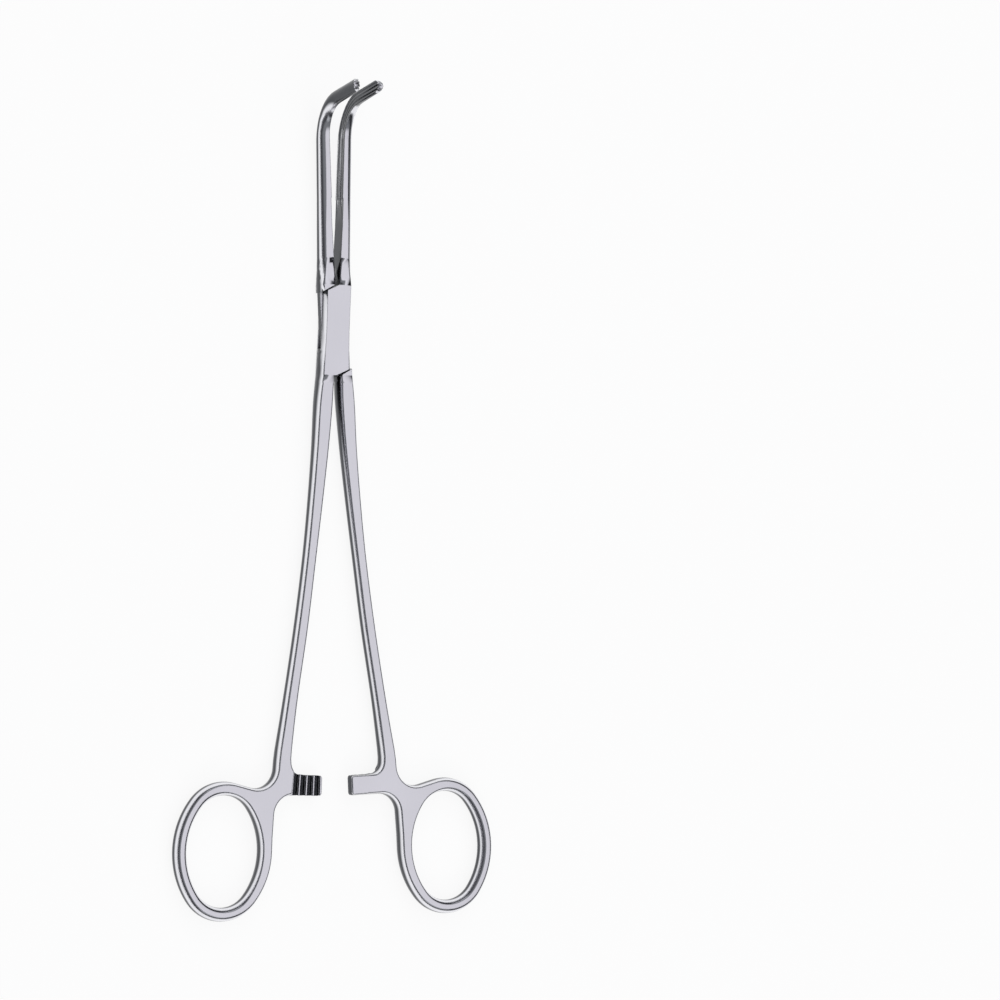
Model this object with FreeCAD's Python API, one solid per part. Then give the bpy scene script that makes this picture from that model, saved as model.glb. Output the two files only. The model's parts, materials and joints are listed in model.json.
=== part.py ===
import FreeCAD, Part

import math
import os

# Right-angle hemostatic forceps with a box lock, lying flat on its back.
# X runs to the right, Y towards the jaws and Z up, away from the table.
# The origin is on the pivot axis, at the back face of the box lock.
# Both halves are modelled with the jaws shut, then opened to the rest pose.

Vector = FreeCAD.Vector

# Rest pose: how far one half is turned from shut, in degrees
rest_opening = 4.7

# Box lock
lock_thickness = 6.0
lock_width = 8.3
lock_half_length = 12.5
shank_end_half_width = 4.45
jaw_end_half_width = 4.25
shoulder_drop = 2.1
shoulder_gap = 0.12
slot_height = 2.0
tongue_face_gap = 0.05
tongue_end_gap = 0.12
tongue_side_inset = 0.1
tongue_corner = 5.4
tongue_root = 1.5
side_bulge = 0.75
shoulder_overlap = 2.0

# Pivot pin
pin_radius = 1.4
pin_running_gap = 0.05

# Shank: distance from the pivot, inner edge, width and thickness at each station
shank_gap = 0.05
neck_y = -20.0
neck_inner = 0.05
neck_width = 4.95
neck_thickness = 5.4
waist_y = -32.0
waist_inner = 0.6
waist_width = 4.6
waist_thickness = 4.8
calf_y = -46.5
calf_inner = 1.7
calf_width = 4.1
calf_thickness = 4.4
bow_y = -63.0
bow_inner = 3.15
bow_width = 3.7
bow_thickness = 4.2
ankle_y = -82.0
ankle_inner = 4.9
ankle_width = 3.8
ankle_thickness = 4.2
heel_y = -101.5
heel_inner = 7.2
heel_width = 3.9
heel_thickness = 4.3
shank_bulge = 0.7
crotch_above_rack = 7.5
crotch_inner = 8.95
crotch_width = 4.3
crotch_bulge = 0.8
handle_thickness = 4.9
shank_steps = 2

# Branch: end of the shank, sunk into the inner side of the finger ring
branch_above_ring = 10.0
branch_inner = 13.3
branch_top_inset = 0.6
branch_inset = 0.3
branch_wall_inset = 0.4

# Finger ring
ring_x = 27.6
ring_below_rack = 18.25
ring_half_width = 12.4
ring_half_height = 16.85
ring_end_radius = 10.2
ring_tube = 3.7
ring_flat = 1.0

# Ratchet
rack_radius = 124.5
rack_width = 5.6
rack_reach = 1.2
rack_split_gap = 0.08
rack_corner = 0.9
rack_top_fillet = 3.2
rack_bottom_fillet = 5.0
rack_edge = 0.7
rack_bow = 20.0
rack_shoulder_inset = 0.3
rack_shoulder_rise = 0.4
rack_branch_drop = 0.1
tooth_count = 4
tooth_pitch = 1.85
tooth_height = 0.75
tooth_land = 0.3
tooth_end_land = 0.5
rack_step = 0.3

# Web between shank, rack and ring
web_sink = 0.02
web_rise = 9.0
web_top_inner_inset = 0.2
web_top_outer_inset = 2.0
crotch_fillet = 5.5
crotch_corner_side = 0.2
crotch_corner_drop = 2.2
saddle_side = 4.2
saddle_rise = 0.5
web_seam_drop = 3.0
web_seam_steps = 4
web_tail = 1.0
web_tail_inset = 0.9
web_blend_rise = 6.0
web_blend_radius = 20.0
rim_clearance = 0.5

# Jaws: stations from the lock to the tip
jaw_front_z = 5.7
jaw_neck_y = 20.0
jaw_neck_depth = 5.2
jaw_neck_outer = 3.95
jaw_neck_face = 2.45
jaw_belly_y = 29.0
jaw_belly_depth = 5.0
jaw_belly_outer = 3.65
jaw_belly_face = 2.2
jaw_notch_y = 36.5
jaw_notch_depth = 4.8
jaw_notch_outer = 3.4
jaw_notch_face = 1.7
jaw_bend_y = 53.0
jaw_bend_radius = 8.5
jaw_bend_depth = 4.4
jaw_bend_outer = 2.95
jaw_bend_face = 1.1
jaw_bend_steps = 9
jaw_arm_depth = 3.6
jaw_arm_length = 12.8
jaw_arm_outer = 2.2
jaw_tip_outer = 1.7
jaw_arm_rise = 6.0
jaw_tip_face = 0.65

# Half gap between the shut jaws
gap_at_root = 0.1
gap_at_neck = 0.25
gap_at_belly = 0.4
gap_before_notch = 0.33
gap_after_notch = 0.18
gap_at_bend = 0.07
gap_at_tip = 0.04

# Lengthwise grooves in the gripping faces
groove_count = 3
groove_pitch = 0.95
groove_width = 0.42
groove_depth = 0.22

# How far a cutting block runs past the faces that it cuts
cut_margin = 1.0

mid_z = lock_thickness / 2.0
crotch_y = crotch_above_rack - rack_radius
ring_y = -rack_radius - ring_below_rack
half_width = lock_width / 2.0
half_opening = rest_opening / 2.0
ring_bulge = (ring_tube - ring_flat) / 2.0
ring_inner = ring_x - ring_half_width - ring_tube / 2.0
ring_top = ring_y + ring_half_height


def line(a, b):
    return Part.makeLine(a, b)


def arc(a, b, c):
    return Part.Arc(a, b, c).toShape()


def block(points, low, high):
    """Straight-sided block over an outline in plan."""
    corners = [Vector(x, y, low) for x, y in points]
    face = Part.Face(Part.makePolygon(corners + corners[:1]))
    return face.extrude(Vector(0, 0, high - low))


def rounded_wire(points, z):
    """Closed outline in plan; each point is x, y and the radius of its corner."""
    places = [Vector(x, y, z) for x, y, radius in points]
    count = len(points)
    starts = []
    ends = []
    edges = []
    for i in range(count):
        corner = places[i]
        radius = points[i][2]
        back = (places[i - 1] - corner).normalize()
        ahead = (places[(i + 1) % count] - corner).normalize()
        half_angle = back.getAngle(ahead) / 2.0
        reach = radius / math.tan(half_angle)
        starts.append(corner + back * reach)
        ends.append(corner + ahead * reach)
        if radius > 0:
            inward = (back + ahead).normalize()
            middle = corner + inward * (radius / math.sin(half_angle) - radius)
            edges.append(arc(starts[i], middle, ends[i]))
        else:
            edges.append(None)
    outline = []
    for i in range(count):
        if edges[i] is not None:
            outline.append(edges[i])
        outline.append(line(ends[i], starts[(i + 1) % count]))
    return Part.Wire(outline)


def barrel_section(y, inner, outer, thickness, bulge):
    """Cross-section with flat front and back and outward-curved sides."""
    low = mid_z - thickness / 2.0
    high = mid_z + thickness / 2.0
    a = Vector(inner + bulge, y, low)
    b = Vector(outer - bulge, y, low)
    c = Vector(outer - bulge, y, high)
    d = Vector(inner + bulge, y, high)
    right = Vector(outer, y, mid_z)
    left = Vector(inner, y, mid_z)
    return Part.Wire([line(a, b), arc(b, right, c), line(c, d), arc(d, left, a)])


def mirrored(shape):
    """The same shape on the other side of the middle line."""
    return shape.mirror(Vector(0, 0, 0), Vector(1, 0, 0))


# Handle of the right side: shank, finger ring, crotch and ratchet rack

def between(rows, i, share):
    """Station between row i and the next, on smooth curves through all the rows."""
    before = rows[max(i - 1, 0)]
    start = rows[i]
    end = rows[i + 1]
    after = rows[min(i + 2, len(rows) - 1)]
    span = end[0] - start[0]
    place = [start[0] + span * share]
    for k in range(1, len(start)):
        slope_in = (end[k] - before[k]) / (end[0] - before[0]) * span
        slope_out = (after[k] - start[k]) / (after[0] - start[0]) * span
        rise = end[k] - start[k]
        bend = slope_in + slope_out - 2.0 * rise
        ease = 3.0 * rise - 2.0 * slope_in - slope_out
        place.append(start[k] + share * (slope_in + share * (ease + share * bend)))
    return place


def shank():
    """Tapered bar from the lock to the middle of the finger ring."""
    branch_wall = ring_tube - branch_wall_inset
    rows = [
        (-lock_half_length, shank_gap, shank_end_half_width, lock_thickness, side_bulge),
        (neck_y, neck_inner, neck_inner + neck_width, neck_thickness, side_bulge),
        (waist_y, waist_inner, waist_inner + waist_width, waist_thickness, side_bulge),
        (calf_y, calf_inner, calf_inner + calf_width, calf_thickness, shank_bulge),
        (bow_y, bow_inner, bow_inner + bow_width, bow_thickness, shank_bulge),
        (ankle_y, ankle_inner, ankle_inner + ankle_width, ankle_thickness, shank_bulge),
        (heel_y, heel_inner, heel_inner + heel_width, heel_thickness, shank_bulge),
        (crotch_y, crotch_inner, crotch_inner + crotch_width, handle_thickness, crotch_bulge),
        (ring_y + branch_above_ring, branch_inner + branch_top_inset, branch_inner + branch_wall,
         handle_thickness, side_bulge),
        (ring_y, ring_inner + branch_inset, ring_inner + branch_wall, handle_thickness, ring_bulge),
    ]
    stations = [rows[0]]
    for i in range(len(rows) - 1):
        for step in range(1, shank_steps + 1):
            stations.append(between(rows, i, step / shank_steps))
    sections = [barrel_section(*station) for station in stations]
    return Part.makeLoft(sections, True, True)


def shank_root():
    """End of the shank beside the lock, up to past the slanted shoulder."""
    ends = [-lock_half_length, -lock_half_length + shoulder_drop + shoulder_overlap]
    sections = [
        barrel_section(y, shank_gap, shank_end_half_width, lock_thickness, side_bulge)
        for y in ends
    ]
    return Part.makeLoft(sections, True, True)


# Finger ring: an oval of four tangent arcs

ring_side_radius = (
    (ring_half_width ** 2 + (ring_half_height - ring_end_radius) ** 2 - ring_end_radius ** 2)
    / (2.0 * (ring_half_width - ring_end_radius))
)
ring_side_offset = ring_side_radius - ring_half_width
ring_end_offset = ring_half_height - ring_end_radius
ring_joint_angle = math.degrees(math.atan2(ring_end_offset, ring_side_offset))


def ring_arc(x, y, radius, start, sweep):
    """Arc of the ring's bar about x, y."""
    centre = Vector(x, y, mid_z)
    inner = x + radius - ring_tube / 2.0
    section = barrel_section(y, inner, inner + ring_tube, handle_thickness, ring_bulge)
    bar = Part.Face(section).revolve(centre, Vector(0, 0, 1), sweep)
    return bar.rotate(centre, Vector(0, 0, 1), start)


def ring():
    """Whole finger ring from its four arcs."""
    joint = ring_joint_angle
    side = ring_side_radius
    end = ring_end_radius
    right = ring_arc(ring_x - ring_side_offset, ring_y, side, -joint, 2.0 * joint)
    left = ring_arc(ring_x + ring_side_offset, ring_y, side, 180.0 - joint, 2.0 * joint)
    top = ring_arc(ring_x, ring_y + ring_end_offset, end, joint, 180.0 - 2.0 * joint)
    bottom = ring_arc(ring_x, ring_y - ring_end_offset, end, 180.0 + joint, 180.0 - 2.0 * joint)
    return right.fuse([left, top, bottom])


def ring_line(y):
    """Where the centre line of the ring's inner branch is, at a height in plan."""
    rise = y - ring_y
    if rise < ring_side_radius * math.sin(math.radians(ring_joint_angle)):
        return ring_x + ring_side_offset - math.sqrt(ring_side_radius ** 2 - rise ** 2)
    return ring_x - math.sqrt(ring_end_radius ** 2 - (rise - ring_end_offset) ** 2)


def web_seam():
    """Edge of the web that is hidden in the ring's bar, from the ring's top down."""
    first = ring_top - web_seam_drop
    last = ring_y - web_tail
    points = [(ring_x - web_seam_drop, ring_top, 0.0)]
    for i in range(web_seam_steps + 1):
        y = first + (last - first) * i / web_seam_steps
        points.append((ring_line(y), y, 0.0))
    return points


def web_outline():
    """Outline in plan of the web with its rack: corners and the radii that round them."""
    rack_top = rack_width / 2.0 - rack_radius
    rack_bottom = -rack_width / 2.0 - rack_radius
    rack_middle = (crotch_inner - rack_reach) / 2.0
    outer = crotch_inner + crotch_width
    web_top = crotch_y + web_rise
    crotch = [
        (outer - web_top_outer_inset, web_top, 0.0),
        (outer + crotch_corner_side, -rack_radius - crotch_corner_drop, crotch_fillet),
        (ring_x - saddle_side, ring_top + saddle_rise, 0.0),
    ]
    branch = [
        (ring_inner + web_tail_inset, ring_y - web_tail, 0.0),
        (ring_inner, ring_y + web_blend_rise, web_blend_radius),
        (ring_inner, rack_bottom - rack_branch_drop, rack_bottom_fillet),
    ]
    rack = [
        (rack_middle, rack_bottom, rack_bow),
        (-rack_reach, rack_bottom, rack_corner),
        (-rack_reach, rack_top, rack_corner),
        (rack_middle, rack_top, rack_bow),
        (crotch_inner - rack_shoulder_inset, rack_top + rack_shoulder_rise, rack_top_fillet),
        (crotch_inner + web_top_inner_inset, web_top, 0.0),
    ]
    return crotch + web_seam() + branch + rack


def is_rim(edge):
    """Whether an edge of the web's faces is open to view, clear of ring and shank."""
    middle = edge.valueAt((edge.FirstParameter + edge.LastParameter) / 2.0)
    in_ring = middle.y < ring_top and middle.x > ring_line(middle.y) - rim_clearance
    in_shank = middle.y > crotch_y + web_rise - rim_clearance
    level = edge.BoundBox.ZLength < rim_clearance
    return level and not in_ring and not in_shank


def crotch_plate():
    """Flat web that joins shank, rack and ring; a hair thinner, so that it sinks in."""
    thickness = handle_thickness - 2.0 * web_sink
    outline = rounded_wire(web_outline(), mid_z - thickness / 2.0)
    plate = Part.Face(outline).extrude(Vector(0, 0, thickness))
    return plate.makeChamfer(rack_edge, [edge for edge in plate.Edges if is_rim(edge)])


def rack_zone(low, high):
    """Everything between the rack's root and its end, between two heights."""
    near = rack_width - rack_radius
    far = -rack_width - rack_radius
    root = crotch_inner - rack_step
    end = -rack_reach - cut_margin
    return block([(root, near), (root, far), (end, far), (end, near)], low, high)


def tooth_gaps():
    """Saw-shaped grooves across the rack, in line with the pivot, open downwards."""
    crest = mid_z + rack_split_gap / 2.0
    near = rack_width - rack_radius
    far = -rack_width - rack_radius
    gaps = []
    for i in range(tooth_count):
        profile = [
            Vector(0, near, crest - tooth_height),
            Vector(0, near, crest + tooth_height),
            Vector(tooth_pitch - tooth_land, near, crest),
            Vector(tooth_pitch - tooth_land, near, crest - tooth_height),
        ]
        face = Part.Face(Part.makePolygon(profile + profile[:1]))
        gap = face.extrude(Vector(0, far - near, 0))
        along = -rack_reach + tooth_end_land + tooth_pitch * i
        angle = math.degrees(along / rack_radius)
        gaps.append(gap.rotate(Vector(0, 0, 0), Vector(0, 0, 1), angle))
    return gaps


def handle():
    """Right handle with the front half of its rack left standing."""
    whole = shank().fuse([ring(), crotch_plate()])
    low = mid_z - lock_thickness
    behind = rack_zone(low, mid_z + rack_split_gap / 2.0)
    return whole.cut([behind] + tooth_gaps())


def handle_with_back_rack():
    """Left handle: the right one turned over about the instrument's length."""
    return handle().rotate(Vector(0, 0, mid_z), Vector(0, 1, 0), 180)


# Jaw of the right side

def jaw_neck_stations():
    """Relieved part behind the grip: place of its front edge and section sizes."""
    root_face = jaw_end_half_width - side_bulge
    back = Vector(0, 0, -1)
    rows = [
        (lock_half_length, lock_thickness, lock_thickness, jaw_end_half_width, gap_at_root,
         root_face),
        (jaw_neck_y, jaw_front_z, jaw_neck_depth, jaw_neck_outer, gap_at_neck, jaw_neck_face),
        (jaw_belly_y, jaw_front_z, jaw_belly_depth, jaw_belly_outer, gap_at_belly, jaw_belly_face),
        (jaw_notch_y, jaw_front_z, jaw_notch_depth, jaw_notch_outer, gap_before_notch,
         jaw_notch_face),
    ]
    return [(Vector(0, row[0], row[1]), back) + row[2:] for row in rows]


def jaw_grip_stations():
    """Grooved part: at the notch, round the bend and at the tip."""
    back = Vector(0, 0, -1)
    centre = Vector(0, jaw_bend_y, jaw_front_z + jaw_bend_radius)
    stations = [
        (Vector(0, jaw_notch_y, jaw_front_z), back, jaw_notch_depth, jaw_notch_outer,
         gap_after_notch, jaw_notch_face),
    ]
    for i in range(jaw_bend_steps + 1):
        share = i / jaw_bend_steps
        angle = math.radians((90.0 - jaw_arm_rise) * share)
        outward = Vector(0, math.sin(angle), -math.cos(angle))
        depth = jaw_bend_depth + (jaw_arm_depth - jaw_bend_depth) * share
        outer = jaw_bend_outer + (jaw_arm_outer - jaw_bend_outer) * share
        gap = gap_at_bend + (gap_at_tip - gap_at_bend) * share
        face = jaw_bend_face + (jaw_tip_face - jaw_bend_face) * share
        stations.append((centre + outward * jaw_bend_radius, outward, depth, outer, gap, face))
    tip = centre + outward * jaw_bend_radius + arm_direction() * jaw_arm_length
    stations.append((tip, outward, jaw_arm_depth, jaw_tip_outer, gap_at_tip, jaw_tip_face))
    return stations


def arm_direction():
    """Way in which the arm points after the bend."""
    rise = math.radians(jaw_arm_rise)
    return Vector(0, math.sin(rise), math.cos(rise))


def jaw_section(place, outward, depth, outer, gap, face, grooved):
    """D-shaped section: flat at the gap, flat front and back up to face, round outer side."""

    def at(x, share):
        return Vector(x, 0, 0) + place + outward * (depth * share)

    flat = [at(gap, 1.0)]
    if grooved:
        half = groove_width / 2.0
        for i in range(groove_count):
            middle = depth / 2.0 + groove_pitch * ((groove_count - 1) / 2.0 - i)
            flat.append(at(gap, (middle + half) / depth))
            flat.append(at(gap + groove_depth, middle / depth))
            flat.append(at(gap, (middle - half) / depth))
    flat.append(at(gap, 0.0))
    edges = [line(flat[i], flat[i + 1]) for i in range(len(flat) - 1)]
    edges.append(line(flat[-1], at(face, 0.0)))
    edges.append(arc(at(face, 0.0), at(outer, 0.5), at(face, 1.0)))
    edges.append(line(at(face, 1.0), flat[0]))
    return Part.Wire(edges)


def nose_trim(tip, outward):
    """What the rounded nose leaves away at the end of the arm."""
    forward = arm_direction()
    radius = jaw_arm_depth / 2.0
    wide = Vector(2.0 * jaw_bend_outer, 0, 0)
    middle = tip + outward * radius - forward * radius - wide * 0.5
    low = middle - outward * jaw_arm_depth
    high = middle + outward * jaw_arm_depth
    reach = forward * jaw_arm_depth
    slab = Part.Face(Part.makePolygon([low, high, high + reach, low + reach, low])).extrude(wide)
    return slab.cut(Part.makeCylinder(radius, wide.Length, middle, wide))


def jaw():
    """Right jaw: relieved neck, grooved grip, bend and arm with a rounded nose."""
    neck = [jaw_section(*station, False) for station in jaw_neck_stations()]
    stations = jaw_grip_stations()
    grip = [jaw_section(*station, True) for station in stations]
    tip, outward = stations[-1][:2]
    arm = Part.makeLoft(grip[-2:], True, True).cut(nose_trim(tip, outward))
    return Part.makeLoft(neck, True, True).fuse([
        Part.makeLoft(grip[:2], True, True),
        Part.makeLoft(grip[1:-1], True, True),
        arm,
    ])


def jaw_root():
    """End of the jaw beside the lock, back to past the slanted shoulder."""
    place, *sizes = jaw_neck_stations()[0]
    back = place - Vector(0, shoulder_drop + shoulder_overlap, 0)
    sections = [jaw_section(back, *sizes, False), jaw_section(place, *sizes, False)]
    return Part.makeLoft(sections, True, True)


# Box lock

def shoulder_line(offset):
    """Slanted end of the cheeks at the lower right, moved away by an offset."""
    slope = shoulder_drop / half_width
    shift = offset * math.hypot(1.0, slope)
    return [
        (0.0, -lock_half_length - shift),
        (2.0 * half_width, -lock_half_length - shift + 2.0 * shoulder_drop),
    ]


def crossing(gap, side):
    """Outline in plan of the passage through the box, or of the tongue in it."""
    wall_slope = (lock_half_length - tongue_corner) / half_width
    shift = gap * math.hypot(1.0, wall_slope)
    root = lock_half_length - shift
    foot = root - wall_slope * side
    beyond = lock_half_length + tongue_root
    return [
        (0, -beyond), (side, -beyond), (side, foot), (0, root),
        (0, beyond), (-side, beyond), (-side, -foot), (0, -root),
    ]


def lock_box():
    """Blank of the box: barrel-sided bar with slanted shoulders."""
    stations = [
        (-lock_half_length, shank_end_half_width),
        (0.0, half_width),
        (lock_half_length, jaw_end_half_width),
    ]
    sections = [
        barrel_section(y, -side, side, lock_thickness, side_bulge) for y, side in stations
    ]
    blank = Part.makeLoft(sections, True, True)
    near, far = shoulder_line(0)
    beyond = -lock_half_length - cut_margin
    waste = block([near, far, (far[0], beyond), (0, beyond)], -cut_margin,
                  lock_thickness + cut_margin)
    other = waste.copy().rotate(Vector(0, 0, 0), Vector(0, 0, 1), 180)
    return blank.cut([waste, other])


def pin_hole(gap):
    """Hole for the pin, wider than it by a gap all round."""
    start = Vector(0, 0, -cut_margin)
    return Part.makeCylinder(pin_radius + gap, lock_thickness + 2.0 * cut_margin, start)


def box_half():
    """Left handle, box with its passage, right jaw."""
    body = handle_with_back_rack().fuse([lock_box(), jaw()])
    low = mid_z - slot_height / 2.0
    passage = block(crossing(0, half_width + cut_margin), low, low + slot_height)
    return body.cut([passage, pin_hole(0)])


def tongue_half():
    """Right handle, tongue through the box, left jaw."""
    near, far = shoulder_line(shoulder_gap)
    side = -cut_margin
    above = block([near, far, (far[0], 0), (side, 0), (side, near[1])], -cut_margin,
                  lock_thickness + cut_margin)
    below = above.copy().rotate(Vector(0, 0, 0), Vector(0, 0, 1), 180)
    low = mid_z - slot_height / 2.0 + tongue_face_gap
    tongue = block(crossing(tongue_end_gap, half_width - tongue_side_inset),
                   low, low + slot_height - 2.0 * tongue_face_gap)
    right = handle().fuse(shank_root()).cut(above)
    left = mirrored(jaw().fuse(jaw_root())).cut(below)
    body = tongue.fuse([right, left])
    return body.cut(pin_hole(pin_running_gap))


def lock_pin():
    """Pivot rivet with both ends ground flush."""
    return Part.makeCylinder(pin_radius, lock_thickness)


def opened(shape, angle):
    """The shape turned about the pivot, in degrees."""
    return shape.rotate(Vector(0, 0, 0), Vector(0, 0, 1), angle)


def write_node(name, shape):
    """One STEP file for one piece."""
    shape.exportStep(os.path.join("parts", name + ".step"))
    print(name, len(shape.Solids), "solid", round(shape.Volume, 1), "mm3", shape.isValid())


if __name__ == "__main__":
    os.makedirs("parts", exist_ok=True)
    write_node("box_half", opened(box_half(), -half_opening))
    write_node("tongue_half", opened(tongue_half(), half_opening))
    write_node("lock_pin", lock_pin())
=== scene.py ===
import json
import math

import bmesh
import bpy
from mathutils import Matrix, Vector


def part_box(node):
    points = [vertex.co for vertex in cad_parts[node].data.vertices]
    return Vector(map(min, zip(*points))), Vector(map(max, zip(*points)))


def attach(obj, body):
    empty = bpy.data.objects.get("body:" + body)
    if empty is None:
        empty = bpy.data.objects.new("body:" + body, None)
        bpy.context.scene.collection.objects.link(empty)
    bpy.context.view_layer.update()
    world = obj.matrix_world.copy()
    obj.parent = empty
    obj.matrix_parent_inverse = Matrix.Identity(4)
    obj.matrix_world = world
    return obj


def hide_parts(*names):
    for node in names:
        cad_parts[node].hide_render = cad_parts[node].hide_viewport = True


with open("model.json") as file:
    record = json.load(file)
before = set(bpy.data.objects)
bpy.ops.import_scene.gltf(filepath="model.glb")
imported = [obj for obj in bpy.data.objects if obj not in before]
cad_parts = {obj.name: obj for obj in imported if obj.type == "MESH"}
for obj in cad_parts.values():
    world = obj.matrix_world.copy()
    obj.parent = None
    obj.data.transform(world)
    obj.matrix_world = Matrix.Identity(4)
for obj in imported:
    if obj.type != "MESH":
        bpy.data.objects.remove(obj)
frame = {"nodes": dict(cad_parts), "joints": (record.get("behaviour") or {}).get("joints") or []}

bl_info = {
    "name": "Right-angle hemostatic forceps",
    "version": (1, 0, 0),
    "blender": (4, 5, 0),
    "location": "View3D > Sidebar > Forceps",
    "description": "Finishes the forceps in ground and polished stainless steel on a plain stage",
    "category": "Object",
}

MM = 0.001
PIVOT = frame["joints"][0]
HALF_OPENING = math.radians(-PIVOT["range_deg"][0]) / 2.0
LOCK_LOW, LOCK_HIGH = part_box("lock_pin")
MID_Z = (LOCK_LOW[2] + LOCK_HIGH[2]) / 2.0

# Shank with the jaws shut, in millimetres: y, inner edge, outer edge, thickness, bulge
SHANK = (
    (-12.5, 0.05, 4.45, 6.0, 0.75),
    (-20.0, 0.05, 5.0, 5.4, 0.75),
    (-32.0, 0.6, 5.2, 4.8, 0.75),
    (-46.5, 1.7, 5.8, 4.4, 0.75),
    (-63.0, 3.15, 6.85, 4.2, 0.75),
    (-82.0, 4.9, 8.7, 4.2, 0.75),
    (-101.5, 7.2, 11.1, 4.3, 0.8),
    (-117.0, 8.65, 13.25, 4.9, 0.85),
)
SHANK_STEP = 2.0 * MM
ARC_STEP = math.radians(5.0)
RING_STEPS = 120

# The ring's bar grows rounder away from the web: degrees from the web's middle
WEB_ANGLE = 150.0
ROUNDER_FROM = 30.0
ROUNDER_OVER = 75.0

# Corners of the handle: how far they lean, drop or rise, and their fillets
FOOT_LEAN = 0.05 * MM
FOOT_DROP = 0.4 * MM
NECK_LEAN = 0.3 * MM
NECK_RISE = 0.4 * MM
NECK_FILLET = 3.2 * MM
RACK_BEND = 20.0 * MM
RACK_CORNER = 0.9 * MM
BRANCH_LEAN = 0.4 * MM
BRANCH_DROP = 0.1 * MM
BRANCH_FILLET = 5.4 * MM
BRANCH_ABOVE_RING = (4.0 * MM, 2.0 * MM)
CROTCH_LEAN = 0.4 * MM
CROTCH_DROP = 2.5 * MM
CROTCH_FILLET = 5.5 * MM
CROTCH_START = 1.0 * MM
OUTLINE_ROUNDS = 6
OPENING_ROUNDS = 2

# Levels of a side up to its edge, and across the edge, as shares
SIDE_SHARES = (0.0, 0.28, 0.52, 0.72)
EDGE_SHARES = (0.0, 0.2, 0.4, 0.6, 0.8, 1.0)
FACE_START = 1.25

# Teeth of the rack, from its end
FIRST_TOOTH = 0.5 * MM
TOOTH_LAND = 0.3 * MM
CUT_MARGIN = 1.0 * MM

# Mesh work
MERGE_DISTANCE = 1e-7
SHARP_ANGLE = math.radians(32.0)
FLAT_FACE = 0.9999
FACE_WEIGHT = 100

# Steel: slopes are heights of the unit normal, each band from its start to its full tone; the side,
# shoulder and edge bands are painted reflections
SHOULDER_SLOPES = (0.16, 0.38)
EDGE_SLOPES = (0.58, 0.74)
GROUND_SLOPES = (0.93, 0.985)
# Painted shade: where ambient occlusion within the reach finds nearby surfaces, the steel is darkened
OPEN_SHARES = (0.15, 0.62)
CREVICE_REACH = 3.0 * MM
WORN_BENDS = (0.02, 0.25)
WORN_POLISH = -0.08
PIN_FACE_RADIUS = 2.2 * MM
GRAIN_STRETCH = (1.0, 0.03, 1.0)
GRAIN_DETAIL = 3.0
GRAIN_HARSHNESS = 0.65
GRAIN_BUMP = 0.5
CLOUDS_PER_METRE = 60.0
CLOUD_DETAIL = 2.0
CLOUD_TINT = (0.10, 0.95)
GRAIN_TINT = (0.06, -0.03)
GRAIN_ROUGHNESS = (0.10, -0.05)

# Stage
SENSOR_WIDTH = 36.0
NEAREST_SEEN = 0.01
FLOOR_HALF = 3.0
FLOOR_DROP = 0.05 * MM
FLOOR_ROUGHNESS = 0.9
FLOOR_GLOW = 0.88
SKY_HEIGHTS = (0.35, 0.78)
HORIZON_COLOUR = (0.07, 0.07, 0.08)
SKY_COLOUR = (0.98, 0.98, 1.0)
LAMPS = {"front_lamp": (0.1, -1.1, 0.7), "back_lamp": (0.1, 1.0, 0.7)}
LAMP_AIM = (0.0, -0.05, 0.0)
LAMP_SIZE = (0.9, 0.4)
LAMP_LEVEL = 2.0


# Settings that a user would change

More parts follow.
